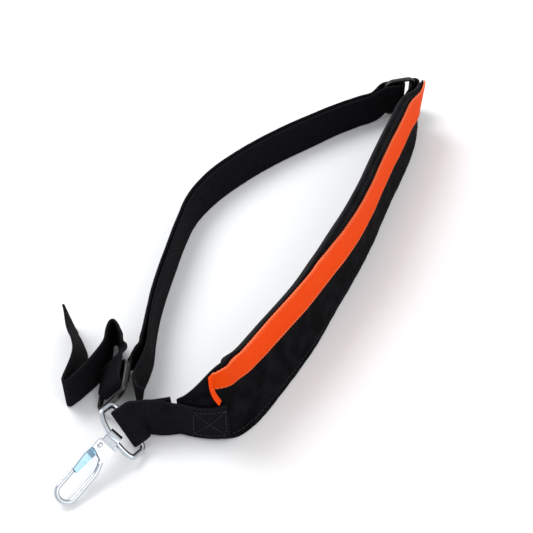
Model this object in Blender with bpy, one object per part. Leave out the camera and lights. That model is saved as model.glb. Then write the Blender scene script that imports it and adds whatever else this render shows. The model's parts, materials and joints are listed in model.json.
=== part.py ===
"""Saxophone neck strap, standing on its edge as it lies on a table.

A padded neck band carries a sewn-on accent stripe.  A webbing strap is folded through a
plastic slide at the far end of the pad, and its free tail lies zigzag beside the D-ring.
The D-ring hangs in a webbing tab at the near end, and a spring snap hook hangs on the ring.

Lengths are in millimetres until mesh_object() turns them into metres.
+X is to the right, +Y runs from the hook to the slide, +Z is up from the table.
"""
import math

import bmesh
import bpy
from mathutils import Matrix, Vector

# ---------------------------------------------------------------- driving dimensions (mm)
MM = 0.001
TABLE_CENTRE = Vector((-3.6, -5.1, 0.0))  # middle of the whole strap's footprint
GAP = 0.35                                # clearance between pieces that touch
SLACK = 0.6                               # clearance round webbing in a frame or loop

WEBBING_WIDTH = 25.0
WEBBING_THICK = 1.7
STRIPE_WIDTH = 25.0
STRIPE_THICK = 1.2
THREAD = 0.9
TACK_LENGTH = 1.6

PAD_WIDTH = 62.0
PAD_THICK = 9.4
EDGE_REST = 4.2                           # thickness of the edge that the pad stands on
COVER_THICK = 1.2
LINING_THICK = 1.1
PAD_FAR_TRIM = 2.0                        # the pad starts this far along its foot line

RING_WIRE = 3.4
RING_HALF_BAR = 16.2                      # bar centre to the side wire's centre
RING_DEPTH = 14.0                         # bar centre to the crown's centre

HOOK_ROD = 3.2
HOOK_HALF_WIDTH = 5.7                     # hook centre line to each leg's centre
HOOK_BEND_Y = 39.6                        # ring wire to the bend's centre
NOSE_Y = 27.5
HEAD_WIDTH = 11.6
HEAD_SHEET = 1.1
HEAD_LENGTH = 16.5
EYE_CLEARANCE = 1.35
GATE_SHEET = 0.8
GATE_PIVOT = Vector((-3.4, 8.2, 0.0))
GATE_REST_LEAN = 6.0
GATE_LENGTH = 20.0
RIVET_RADIUS = 1.0
PIN_HOLE = 1.3

SLIDE_LENGTH = 27.0
SLIDE_HEIGHT = 32.0
SLIDE_THICK = 3.0
SLIDE_RIM = 3.2
BAR_HALF = 1.5

# ---------------------------------------------------------------- routes over the table (mm)
# Outer foot line of the pad, from the slide's end to the ring's end.
PAD_FOOT = [(119.8, 159.4), (114.0, 129.1), (104.3, 100.3), (93.4, 72.8), (83.5, 46.6),
            (74.4, 21.6), (64.4, -2.2), (53.8, -25.1), (43.4, -46.9), (33.8, -67.9),
            (22.9, -88.0), (12.0, -106.0), (1.9, -122.0), (-7.8, -135.4), (-19.0, -144.2),
            (-33.0, -144.6), (-48.0, -141.6), (-56.0, -139.2)]
# Foot line of the strap's inner run, from the slide to the ring's tab.
STRAP_FOOT = [(94.5, 168.2), (74.7, 157.8), (55.0, 145.7), (35.7, 131.3), (16.9, 117.5),
              (-1.5, 102.6), (-19.4, 85.6), (-36.7, 65.8), (-50.8, 42.4), (-58.0, 17.6),
              (-62.7, -6.1), (-67.0, -28.8), (-70.2, -50.5), (-71.6, -71.3), (-71.9, -90.0),
              (-75.0, -105.0), (-78.2, -116.0)]


def clear_scene():
    for item in list(bpy.data.objects):
        bpy.data.objects.remove(item, do_unlink=True)


def finish(name, colour, roughness, metallic=0.0):
    """A Principled material in the piece's own colour."""
    material = bpy.data.materials.new(name)
    material.use_nodes = True
    shader = material.node_tree.nodes["Principled BSDF"]
    shader.inputs["Base Color"].default_value = (*colour, 1.0)
    shader.inputs["Roughness"].default_value = roughness
    shader.inputs["Metallic"].default_value = metallic
    material.diffuse_color = (*colour, 1.0)
    return material


def mesh_object(name, verts, faces, material, parent=None, world=True):
    """Make one object from millimetre points, on the table or in its parent's own frame."""
    shift = TABLE_CENTRE if world else Vector((0.0, 0.0, 0.0))
    mesh = bpy.data.meshes.new(name)
    mesh.from_pydata([(Vector(v) - shift) * MM for v in verts], [], faces)
    work = bmesh.new()
    work.from_mesh(mesh)
    bmesh.ops.recalc_face_normals(work, faces=work.faces)
    work.to_mesh(mesh)
    work.free()
    mesh.shade_smooth()
    mesh.set_sharp_from_angle(angle=math.radians(40.0))
    mesh.materials.append(material)
    item = bpy.data.objects.new(name, mesh)
    bpy.context.scene.collection.objects.link(item)
    item.parent = parent
    return item


def empty(name, matrix):
    item = bpy.data.objects.new(name, None)
    bpy.context.scene.collection.objects.link(item)
    item.matrix_world = matrix
    return item


# ---------------------------------------------------------------- curves and sweeps
def spline(points, step):
    """Points every `step` or so along a smooth curve through `points`."""
    rows = [Vector(p) for p in points]
    rows = [rows[0] * 2 - rows[1]] + rows + [rows[-1] * 2 - rows[-2]]
    out = []
    for a, b, c, d in zip(rows, rows[1:], rows[2:], rows[3:]):
        count = max(1, round((c - b).length / step))
        for k in range(count):
            t = k / count
            out.append(0.5 * ((2 * b) + (c - a) * t + (2 * a - 5 * b + 4 * c - d) * t * t
                              + (3 * b - a - 3 * c + d) * t ** 3))
    out.append(rows[-2])
    return out


def tangents(path, closed=False):
    count = len(path)
    out = []
    for i in range(count):
        before = path[i - 1] if closed or i else path[i]
        after = path[(i + 1) % count] if closed or i < count - 1 else path[i]
        out.append((after - before).normalized())
    return out


def loft(rings, closed=False):
    """Skin rings of equal length.  An open loft gets a face at each end."""
    size = len(rings[0])
    verts = [p for ring in rings for p in ring]
    faces = []
    last = len(rings) if closed else len(rings) - 1
    for i in range(last):
        j = (i + 1) % len(rings)
        for k in range(size):
            n = (k + 1) % size
            faces.append((i * size + k, i * size + n, j * size + n, j * size + k))
    if not closed:
        faces.append(tuple(range(size))[::-1])
        faces.append(tuple(range((len(rings) - 1) * size, len(rings) * size)))
    return verts, faces


def webbing(name, path, ups, material, width=WEBBING_WIDTH, thick=WEBBING_THICK):
    """A flat woven strip: `path` is its middle line and `ups` point across its width."""
    rings = []
    for p, t, up in zip(path, tangents(path), ups):
        across = (up - t * up.dot(t)).normalized()
        out = t.cross(across)
        w, h = across * width / 2, out * thick / 2
        rings.append([p - w - h, p + w - h, p + w + h, p - w + h])
    return mesh_object(name, *loft(rings), material)


def strip_route(rows, step):
    """Sample (x, y, z, up x, up y, up z) rows into a path and its across directions."""
    path = spline([r[:3] for r in rows], step)
    spans = [(Vector(b[:3]) - Vector(a[:3])).length for a, b in zip(rows, rows[1:])]
    ups = []
    for (a, b), span in zip(zip(rows, rows[1:]), spans):
        count = max(1, round(span / step))
        for k in range(count):
            t = k / count
            t = t * t * (3 - 2 * t)
            ups.append(Vector(a[3:]).lerp(Vector(b[3:]), t).normalized())
    ups.append(Vector(rows[-1][3:]).normalized())
    return path, ups


def wire_rings(path, radius, sides, closed=False):
    """Round sections along a path, with a frame that never twists."""
    ts = tangents(path, closed)
    side = ts[0].orthogonal().normalized()
    rings = []
    for p, t in zip(path, ts):
        side = (side - t * side.dot(t)).normalized()
        other = t.cross(side)
        rings.append([p + (side * math.cos(a) + other * math.sin(a)) * radius
                      for a in (2 * math.pi * k / sides for k in range(sides))])
    return rings


def arc(centre, x_dir, y_dir, radius, start, end, count):
    """Points on an arc in the plane of x_dir and y_dir, angles in degrees."""
    out = []
    for k in range(count + 1):
        a = math.radians(start + (end - start) * k / count)
        out.append(centre + (x_dir * math.cos(a) + y_dir * math.sin(a)) * radius)
    return out


def prism(outline, low, high):
    """A closed slab from an outline in X and Y, between two heights."""
    return loft([[Vector((x, y, low)) for x, y in outline],
                 [Vector((x, y, high)) for x, y in outline]])


# ---------------------------------------------------------------- the pad's shape
def smooth(t):
    t = min(1.0, max(0.0, t))
    return t * t * (3 - 2 * t)


class PadShape:
    """Maps (s along the pad, v up its outer face, n into its thickness) to the table."""

    def __init__(self):
        self.foot = spline([(x, y, 0.0) for x, y in PAD_FOOT], 4.0)
        self.dirs = tangents(self.foot)
        self.run = [0.0]
        for a, b in zip(self.foot, self.foot[1:]):
            self.run.append(self.run[-1] + (b - a).length)
        self.length = self.run[-1]

    def at(self, s):
        s = min(max(s, 0.0), self.length)
        i = min(max(k for k, r in enumerate(self.run) if r <= s + 1e-9), len(self.run) - 2)
        t = (s - self.run[i]) / (self.run[i + 1] - self.run[i])
        point = self.foot[i].lerp(self.foot[i + 1], t)
        return point, self.dirs[i].lerp(self.dirs[i + 1], t).normalized()

    def stripe_foot(self, s):
        """Height along the face from the pad's foot to the stripe's lower edge."""
        far = 18.0 + 9.0 * smooth(s / 48.0)
        return far + 3.5 * smooth((s - 140.0) / 150.0)

    def top(self, s):
        """Height along the face to the pad's upper edge."""
        far = PAD_WIDTH - 17.0 * smooth((62.0 - s) / 62.0) - 8.5 * smooth((s - 150.0) / 110.0)
        far += 3.5 * smooth((s - self.length + 66.0) / 24.0)
        return far - 31.5 * smooth((s - self.length + 32.0) / 32.0)

    def face(self, s, v):
        """How far the outer face leans in and how high it is at v, and its lean angle."""
        low, low_top = self.stripe_foot(s), self.stripe_foot(s) + STRIPE_WIDTH
        near = smooth((s - 165.0) / 140.0) * (1 - smooth((s - self.length + 54.0) / 38.0))
        far = 1.0 - smooth(s / 50.0)
        splay = 6.5 + 18.0 * near - 5.0 * far
        middle = 6.5 - 4.0 * near - 11.0 * far
        bend = 8.0 - 4.0 * near
        inward = height = 0.0
        count = 14
        lean = splay
        for k in range(count):
            u = v * (k + 0.5) / count
            lean = splay + (middle - splay) * smooth((u - low + 4.0) / 8.0)
            lean += (bend - middle) * smooth((u - low_top + 3.0) / 10.0)
            inward += math.sin(math.radians(lean)) * v / count
            height += math.cos(math.radians(lean)) * v / count
        return inward, height, math.radians(lean)

    def point(self, s, v, n):
        foot, run = self.at(s)
        inside = Vector((run.y, -run.x, 0.0))
        inward, height, lean = self.face(s, v)
        height += EDGE_REST * max(0.0, math.sin(self.face(s, 0.01)[2]))
        into = inside * math.cos(lean) - Vector((0.0, 0.0, math.sin(lean)))
        return foot + inside * inward + Vector((0.0, 0.0, height)) + into * n


PAD = PadShape()


def pad_slab(name, material, spans, s_rows, across=9):
    """A layer of the pad.  spans(s) gives (v low, v high, outer n(v), inner n(v))."""
    rings = []
    for s in s_rows:
        v0, v1, outer, inner = spans(s)
        vs = [v0 + (v1 - v0) * k / (across - 1) for k in range(across)]
        rings.append([PAD.point(s, v, outer(v)) for v in vs]
                     + [PAD.point(s, v, inner(v)) for v in reversed(vs)])
    return mesh_object(name, *loft(rings), material)


def rows_between(start, end, step):
    count = max(1, round((end - start) / step))
    return [start + (end - start) * k / count for k in range(count + 1)]


def pad_depth(s, v):
    """Thickness of the pad: full in the middle, thinner at its edges and ends."""
    top = PAD.top(s)
    edge = min(v, top - v) / 9.0
    ends = smooth((s - PAD_FAR_TRIM + 8.0) / 30.0) * smooth((PAD.length - s + 12.0) / 34.0)
    return (0.42 + 0.58 * smooth(edge)) * (0.52 + 0.48 * ends) * PAD_THICK


def make_pad(fabric, foam, lining):
    start, end = PAD_FAR_TRIM, PAD.length - 2.0
    rows = rows_between(start, end, 8.5)
    skin = COVER_THICK + 2 * GAP
    wrap = 1.6

    rings = []
    for s in rows:
        top = PAD.top(s)
        vs = [top * k / 10 for k in range(11)]
        outer = [PAD.point(s, v, 0.0) for v in vs]
        lower_lip = PAD.point(s, 0.0, pad_depth(s, 0.0))
        upper_lip = PAD.point(s, top, pad_depth(s, top))
        inner_vs = [min(max(v, wrap), top - wrap) for v in vs]
        inner = [PAD.point(s, v, COVER_THICK) for v in reversed(inner_vs)]
        upper_in = PAD.point(s, top - wrap, pad_depth(s, top))
        lower_in = PAD.point(s, wrap, pad_depth(s, 0.0))
        rings.append(outer + [upper_lip, upper_in] + inner + [lower_in, lower_lip])
    mesh_object("pad_cover", *loft(rings), fabric)

    inset = wrap + GAP
    back = LINING_THICK + 5 * GAP
    pad_slab("pad_foam", foam, lambda s: (
        inset, PAD.top(s) - inset,
        lambda v: skin,
        lambda v: max(pad_depth(s, v) - back, skin + 0.5)), rows[1:-1])
    pad_slab("pad_lining", lining, lambda s: (
        inset, PAD.top(s) - inset,
        lambda v: max(pad_depth(s, v) - LINING_THICK, skin + 0.5 + 2 * GAP),
        lambda v: max(pad_depth(s, v), skin + 0.5 + 2 * GAP + LINING_THICK)), rows)


def make_stripe(orange, thread):
    """The accent webbing down the pad's outer face and its two rows of stitching."""
    end = PAD.length - 25.0
    lift = -2 * GAP
    depth = lift - STRIPE_THICK

    def span(s):
        low = PAD.stripe_foot(s)
        return low, low + STRIPE_WIDTH, lambda v: depth, lambda v: lift
    rows = rows_between(0.5, end, 8.0)
    pad_slab("accent_stripe", orange, span, rows, across=6)
    for name, inset in (("stripe_seam_lower", 1.8), ("stripe_seam_upper", STRIPE_WIDTH - 1.8)):
        def seam(s, inset=inset):
            low = PAD.stripe_foot(s) + inset - THREAD / 2
            surface = depth - GAP - 0.1
            return low, low + THREAD, lambda v: surface - 0.5, lambda v: surface
        pad_slab(name, thread, seam, rows[1:-1], across=2)


# ---------------------------------------------------------------- webbing pieces
RING_BAR = Vector((-80.7, -144.96, 12.77))
BAR_DIR = Vector((0.575, -0.578, -0.578)).normalized()
CROWN_DIR = Vector((-0.573, -0.79, 0.22)).normalized()
CROWN_DIR = (CROWN_DIR - BAR_DIR * CROWN_DIR.dot(BAR_DIR)).normalized()
UP = Vector((0.0, 0.0, 1.0))


def make_ring_tab(black, thread):
    """Webbing sewn over the pad's near end, folded round the ring's straight bar."""
    away = Vector((0.81, 0.50, 0.31))
    away = (away - BAR_DIR * away.dot(BAR_DIR)).normalized()
    front = -away.cross(BAR_DIR).normalized()
    if front.y > 0:
        front = -front
    fold = RING_WIRE / 2 + 2 * SLACK + WEBBING_THICK / 2
    ring_up = -BAR_DIR
    half = WEBBING_WIDTH / 2
    offset = 2.5 * GAP + WEBBING_THICK / 2

    rows = []
    for back_from_end in (35.0, 29.0, 23.0, 17.0, 11.0, 5.0):
        s = PAD.length - back_from_end
        low = PAD.point(s, 1.0, -offset)
        high = PAD.point(s, 1.0 + WEBBING_WIDTH, -offset)
        up = (high - low).normalized()
        rows.append((*(low + up * half), *up))
    rows.append((-61.5, -140.2, 13.6, -0.08, 0.26, 0.96))
    rows.append((*(RING_BAR + front * fold + away * 12.0 - UP * 1.1), -0.28, 0.0, 0.96))
    rows.append((*(RING_BAR + front * fold + away * 4.0), *ring_up))
    path, ups = strip_route(rows, 4.0)
    turn = arc(RING_BAR, front, -away, fold, 0.0, 180.0, 8)
    path += turn
    ups += [ring_up] * len(turn)
    back_rows = [(*(RING_BAR - front * fold + away * 4.0), *ring_up),
                 (*(RING_BAR - front * fold + away * 12.0 - UP * 1.1), -0.28, 0.0, 0.96),
                 (-66.5, -137.8, 13.2, -0.08, 0.18, 0.98),
                 (-57.0, -136.4, 13.4, -0.06, 0.16, 0.98)]
    more, more_ups = strip_route(back_rows, 4.0)
    webbing("ring_tab", path + more, ups + more_ups, black)

    # X-in-a-box stitching where the tab is sewn over the pad's end
    surface = -offset - WEBBING_THICK / 2 - 1.5 * GAP
    s0, s1 = PAD.length - 33.0, PAD.length - 14.0
    v0, v1 = 4.5, 22.5

    def stitch(a, b):
        normal = PAD.point((a[0] + b[0]) / 2, (a[1] + b[1]) / 2, surface - 1.0) \
            - PAD.point((a[0] + b[0]) / 2, (a[1] + b[1]) / 2, surface)
        steps = 4
        rings = []
        for k in range(steps + 1):
            t = k / steps
            s, v = a[0] + (b[0] - a[0]) * t, a[1] + (b[1] - a[1]) * t
            p = PAD.point(s, v, surface)
            q = PAD.point(s + (b[0] - a[0]) * 0.05, v + (b[1] - a[1]) * 0.05, surface)
            side = (q - p).cross(normal).normalized() * THREAD / 2
            rings.append([p - side, p + side, p + side + normal * 0.5, p - side + normal * 0.5])
        return loft(rings)
    corners = [(s0, v0), (s1, v0), (s1, v1), (s0, v1)]
    lines = list(zip(corners, corners[1:] + corners[:1]))
    lines += [(corners[0], corners[2]), (corners[1], corners[3])]
    bars = []
    for k, (a, b) in enumerate(lines):
        stretch = 0.45 / ((Vector(b) - Vector(a)).length)
        a2 = tuple(Vector(a) + (Vector(a) - Vector(b)) * stretch)
        b2 = tuple(Vector(b) + (Vector(b) - Vector(a)) * stretch)
        bars.append(mesh_object(f"tab_stitch_bar_{k}", *stitch(a2, b2), thread))
    join_union("tab_box_stitch", bars)


def join_union(name, items):
    """Fuse overlapping bars into one body with exact unions."""
    base = items[0]
    base.name = name
    for item in items[1:]:
        union = base.modifiers.new("union", "BOOLEAN")
        union.operation = "UNION"
        union.object = item
        item.hide_render = True
        item.display_type = "WIRE"
    return base


def strap_lean(p):
    """The strap leans outward most along its far bend."""
    return 0.06 + 0.14 * smooth((p.y - 20.0) / 60.0) * (1.0 - smooth((p.y - 120.0) / 45.0))


def strap_rows(offset, lift, lean):
    """The strap's standing runs, `offset` mm to the outside of the foot line."""
    foot = spline([(x, y, 0.0) for x, y in STRAP_FOOT], 9.0)
    rows = []
    for p, t in zip(foot, tangents(foot)):
        outside = Vector((t.y, -t.x, 0.0))
        up = (UP + outside * lean(p)).normalized()
        rows.append((*(p + outside * offset + up * (WEBBING_WIDTH / 2 + lift)), *up))
    return rows


UPPER_SLIDE = Vector((105.2, 175.2, 16.8))
UPPER_ALONG = Vector((0.967, 0.255, 0.0)).normalized()      # toward the pad's tab
LOWER_SLIDE = Vector((-92.3, -116.4, 14.8))
LOWER_UP = Vector((0.58, -0.10, 0.80)).normalized()
LOWER_ALONG = Vector((0.02, -0.99, 0.0))                   # toward the ring
LOWER_ALONG = (LOWER_ALONG - LOWER_UP * LOWER_ALONG.dot(LOWER_UP)).normalized()
END_BAR_X = SLIDE_LENGTH / 2 - SLIDE_RIM / 2
FOLD_RADIUS = BAR_HALF * math.sqrt(2.0) + GAP + WEBBING_THICK / 2


def make_strap(black, thread):
    """The long webbing: inner run, fold round the slide's middle bar, outer run and tail."""
    out = UP.cross(UPPER_ALONG)
    inner = strap_rows(0.0, 0.3, strap_lean)
    start = [(*(UPPER_SLIDE - out * FOLD_RADIUS - UPPER_ALONG * 1.4), 0, 0, 1),
             (*(UPPER_SLIDE - out * FOLD_RADIUS - UPPER_ALONG * 13.0), 0, 0, 1)]
    end = [(-77.4, -124.5, 13.0, -0.10, 0.30, 0.95), (-74.6, -128.2, 12.8, -0.20, 0.42, 0.88)]
    inner = [r for r in inner if (Vector(r[:3]) - UPPER_SLIDE).xy.length > 19.0]
    path, ups = strip_route(start + inner + end, 6.0)
    webbing("strap_inner_run", path, ups, black)
    tack_block("strap_end_tack", path[-2], tangents(path)[-2], ups[-2], thread)

    outer = strap_rows(WEBBING_THICK + 0.7, 1.6, strap_lean)
    outer = [r for r in outer if (Vector(r[:3]) - UPPER_SLIDE).xy.length > 19.0 and r[1] > -70.0]
    turn = arc(UPPER_SLIDE, -out, UPPER_ALONG, FOLD_RADIUS, 8.0, 180.0, 7)
    rows = [(*(UPPER_SLIDE + out * FOLD_RADIUS - UPPER_ALONG * 2.0), 0, 0, 1),
            (*(UPPER_SLIDE + out * FOLD_RADIUS - UPPER_ALONG * 13.0), 0, 0, 1)] + outer
    side = LOWER_UP.cross(LOWER_ALONG)
    if side.x < 0:
        side = -side
    half_way = LOWER_SLIDE - LOWER_ALONG * 12.0
    rows += [(-77.3, -84.0, 13.6, 0, 0, 1), (-80.0, -92.0, 13.4, 0.14, 0, 1.0),
             (*(half_way - LOWER_ALONG * 4.0 + side * (FOLD_RADIUS + 0.8)), *LOWER_UP),
             (*(half_way + side * FOLD_RADIUS), *LOWER_UP),
             (*(LOWER_SLIDE + side * FOLD_RADIUS - LOWER_ALONG * 1.2), *LOWER_UP)]
    more, more_ups = strip_route(rows, 6.0)
    webbing("strap_outer_run", turn + more, [UP] * len(turn) + more_ups, black)

    turn = arc(LOWER_SLIDE, side, LOWER_ALONG, FOLD_RADIUS, 10.0, 180.0, 7)
    tail = [(*(LOWER_SLIDE - side * FOLD_RADIUS - LOWER_ALONG * 3.0), *LOWER_UP),
            (*(half_way - side * FOLD_RADIUS), *LOWER_UP),
            (*(half_way - LOWER_ALONG * 4.0 - side * (FOLD_RADIUS + 0.6)), *LOWER_UP),
            (-92.2, -93.0, 13.6, 0.34, 0.0, 0.94), (-91.4, -85.0, 12.9, 0.16, 0, 1.0),
            (-92.6, -78.0, 12.7, 0.05, 0, 1.0), (-94.6, -73.2, 12.8, 0, 0, 1),
            (-96.8, -71.8, 12.8, 0, 0, 1), (-98.6, -74.0, 12.8, 0, 0, 1),
            (-99.0, -80.0, 12.8, -0.05, 0, 1), (-99.6, -89.0, 12.8, -0.05, 0, 1),
            (-105.0, -101.8, 12.8, -0.08, 0.03, 1), (-112.3, -112.5, 12.8, -0.05, 0, 1),
            (-117.4, -119.0, 12.8, 0, 0, 1), (-119.9, -121.0, 12.8, 0, 0, 1),
            (-121.6, -119.2, 12.8, 0, 0, 1), (-119.6, -111.0, 12.8, -0.05, 0, 1),
            (-116.9, -98.0, 12.7, -0.12, -0.10, 0.98), (-117.3, -85.0, 12.4, -0.22, -0.29, 0.93),
            (-121.2, -74.4, 12.2, -0.19, -0.37, 0.91), (-127.6, -57.5, 12.5, -0.06, -0.3, 0.95)]
    path, ups = strip_route(tail, 3.5)
    path, ups = turn + path, [LOWER_UP] * len(turn) + ups
    webbing("strap_tail", path, ups, black)

    tack_block("tail_end_tack", path[-3], tangents(path)[-3], ups[-3], thread)


def tack_block(name, centre, along, across, thread):
    """A bar tack: a low bar of dense thread across the webbing's far face, near its end."""
    across = (across - along * across.dot(along)).normalized()
    out = along.cross(across).normalized()
    if out.y < 0:
        out = -out
    base = centre + out * (WEBBING_THICK / 2 + 3 * GAP)
    half = across * (WEBBING_WIDTH / 2 - 3.0)
    run = along.normalized() * TACK_LENGTH / 2
    rings = []
    for sign in (-1, 1):
        p = base + half * sign
        rings.append([p - run, p + run, p + run + out * 0.6, p - run + out * 0.6])
    return mesh_object(name, *loft(rings), thread)


# ---------------------------------------------------------------- upper slide and its tab
def rounded_box(half_x, half_y, radius, count):
    """Outline of a rounded rectangle, counter-clockwise."""
    out = []
    for k, (sx, sy) in enumerate(((1, 1), (-1, 1), (-1, -1), (1, -1))):
        cx, cy = sx * (half_x - radius), sy * (half_y - radius)
        for j in range(count + 1):
            a = math.pi / 2 * (k + j / count)
            out.append((cx + radius * math.cos(a), cy + radius * math.sin(a)))
    return out


def make_slide(name, centre, along, up, plastic):
    """Oval three-bar slide.  Its own frame: X along the strap, Y across, Z through it."""
    frame = Matrix((along, up, along.cross(up))).transposed().to_4x4()
    axis = empty(f"{name}_place", Matrix.Translation((centre - TABLE_CENTRE) * MM) @ frame)
    half = SLIDE_THICK / 2
    body = mesh_object(name, *prism(rounded_box(SLIDE_LENGTH / 2, SLIDE_HEIGHT / 2, 8.0, 5),
                                    -half, half), plastic, axis, world=False)
    bevel = body.modifiers.new("soft edges", "BEVEL")
    bevel.width = 0.9 * MM
    bevel.segments = 2
    bevel.limit_method = "ANGLE"
    slot_half = WEBBING_WIDTH / 2 + 0.8
    inside = SLIDE_LENGTH / 2 - SLIDE_RIM
    for k, (x0, x1) in enumerate(((-inside, -BAR_HALF), (BAR_HALF, inside))):
        outline = [(x0, -slot_half), (x1, -slot_half), (x1, slot_half), (x0, slot_half)]
        cutter = mesh_object(f"{name}_slot_cutter_{k}", *prism(outline, -9.0, 9.0), plastic,
                             axis, world=False)
        cut_away(body, cutter)


def cut_away(body, cutter):
    cutter.hide_render = True
    cutter.display_type = "WIRE"
    cut = body.modifiers.new("cut", "BOOLEAN")
    cut.operation = "DIFFERENCE"
    cut.object = cutter


def make_slide_tab(black):
    """Short webbing loop from the pad's far end round the slide's end bar."""
    fold = SLIDE_RIM / 2 + SLACK * 1.5 + WEBBING_THICK / 2
    end_bar = UPPER_SLIDE + UPPER_ALONG * END_BAR_X
    away = (Vector((116.0, 146.0, 0.0)) - end_bar).xy.to_3d().normalized()
    side = Vector((-away.y, away.x, 0.0))
    sewn = PAD.point(PAD_FAR_TRIM + 13.0, 16.0, COVER_THICK + 10.6)
    lead = end_bar + away * 7.0 + side * fold * 0.9
    lead.z = 16.4
    path, ups = strip_route([(*sewn, 0, 0, 1), (*(sewn.lerp(lead, 0.5)), 0, 0, 1),
                             (*lead, 0, 0, 1)], 2.5)
    turn = arc(end_bar, side, -away, fold, 0.0, 180.0, 8)
    path += turn
    ups += [UP] * len(turn)
    lead_back = end_bar + away * 7.0 - side * fold * 0.9
    sewn_back = sewn - side * (2 * fold) * 0.6
    more, more_ups = strip_route([(*lead_back, 0, 0, 1),
                                  (*(sewn_back.lerp(lead_back, 0.5)), 0, 0, 1),
                                  (*sewn_back, 0, 0, 1)], 2.5)
    webbing("slide_tab", path + more, ups + more_ups, black)


# ---------------------------------------------------------------- ring and hook
def make_ring(steel):
    pivot = RING_BAR - TABLE_CENTRE
    normal = BAR_DIR.cross(CROWN_DIR)
    frame = Matrix((BAR_DIR, CROWN_DIR, normal)).transposed().to_4x4()
    axis = empty("ring_axis", Matrix.Translation(pivot * MM) @ frame)
    x_dir, y_dir = Vector((1, 0, 0)), Vector((0, 1, 0))
    corner = 3.6
    half = RING_HALF_BAR
    shoulder = 8.5
    path = arc(Vector((half - corner, corner, 0)), x_dir, y_dir, corner, -90, 0, 4)
    for k in range(17):
        a = math.pi * k / 16
        rise = (RING_DEPTH - shoulder) * max(math.sin(a), 0.0) ** 0.8
        path.append(Vector((half * math.cos(a), shoulder + rise, 0)))
    path += arc(Vector((-half + corner, corner, 0)), x_dir, y_dir, corner, 180, 270, 4)
    path += [Vector((x, 0, 0)) for x in (-6.0, 0.0, 6.0)]
    mesh_object("d_ring", *loft(wire_rings(path, RING_WIRE / 2, 10, True), True), steel, axis,
                world=False)
    return axis


HOOK_EYE = RING_BAR + CROWN_DIR * RING_DEPTH
HOOK_TIP = Vector((-115.2, -189.5, 5.2))


def hook_frame():
    """Hook axes: Y from the ring to the bend, X across the legs, Z out of the flat head."""
    y_dir = (HOOK_TIP - HOOK_EYE).normalized()
    x_dir = (BAR_DIR - y_dir * BAR_DIR.dot(y_dir)).normalized()
    z_dir = x_dir.cross(y_dir)
    return Matrix((x_dir, y_dir, z_dir)).transposed().to_4x4()


def make_hook(steel, blue_steel, spring_steel):
    axis = empty("hook_axis", Matrix.Translation((HOOK_EYE - TABLE_CENTRE) * MM) @ hook_frame())
    x_dir, y_dir, z_dir = Vector((1, 0, 0)), Vector((0, 1, 0)), Vector((0, 0, 1))
    leg, rod = HOOK_HALF_WIDTH, HOOK_ROD / 2

    # round rod: shank between the head's plates, right leg, bend, left leg and nose
    path = spline([Vector(p) for p in ((1.2, 7.0, 0), (1.8, 11.0, 0), (4.4, 17.0, 0),
                                       (leg, 22.0, 0))], 2.5)
    path += [Vector((leg, y, 0)) for y in (28.0, 34.0)]
    path += arc(Vector((0, HOOK_BEND_Y, 0)), x_dir, y_dir, leg, 0, 180, 12)
    path += [Vector((-leg, 34.0, 0)), Vector((-leg, NOSE_Y, 0))]
    mesh_object("hook_rod", *loft(wire_rings(path, rod, 10)), steel, axis, world=False)

    # sheet head: an eye rolled round the ring wire, then two plates over the shank
    inner = RING_WIRE / 2 + EYE_CLEARANCE
    outer = inner + HEAD_SHEET
    low_z = rod + GAP
    top_z = low_z + HEAD_SHEET
    half = HEAD_WIDTH / 2
    neck_out, neck_in = outer + 1.6, inner + 1.9
    eye_out = arc(Vector((0, 0, 0)), y_dir, z_dir, outer, 62.0, 298.0, 16)
    eye_in = arc(Vector((0, 0, 0)), y_dir, z_dir, inner, 62.0, 298.0, 14)
    profile = [Vector((0, HEAD_LENGTH, top_z)), Vector((0, neck_out, top_z))] + eye_out
    profile += [Vector((0, neck_out, -top_z)), Vector((0, HEAD_LENGTH, -top_z))]
    profile += [Vector((0, HEAD_LENGTH, -low_z)), Vector((0, neck_in, -low_z))]
    profile += list(reversed(eye_in))
    profile += [Vector((0, neck_in, low_z)), Vector((0, HEAD_LENGTH, low_z))]
    head = mesh_object("hook_head", *loft([[p - x_dir * half for p in profile],
                                           [p + x_dir * half for p in profile]]),
                       steel, axis, world=False)
    eye_half, far_side = 4.0, 7.5
    notches = ([(-far_side, 11.6), (-4.4, 11.6), (2.6, 14.4), (2.6, 20.0), (-far_side, 20.0)],
               [(far_side, 10.5), (4.6, 11.5), (3.4, 20.0), (far_side, 20.0)],
               [(-far_side, -5.0), (-eye_half, -5.0), (-eye_half, 4.6), (-far_side, 4.6)],
               [(far_side, -5.0), (eye_half, -5.0), (eye_half, 4.6), (far_side, 4.6)])
    for k, outline in enumerate(notches):
        cutter = mesh_object(f"head_cutter_{k}", *prism(outline, -9.0, 9.0), steel, axis,
                             world=False)
        cut_away(head, cutter)
    cut_away(head, pin_cutter("head_pin_cutter", GATE_PIVOT, axis))
    make_gate(steel, blue_steel, spring_steel, axis, top_z)
    return axis


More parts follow.
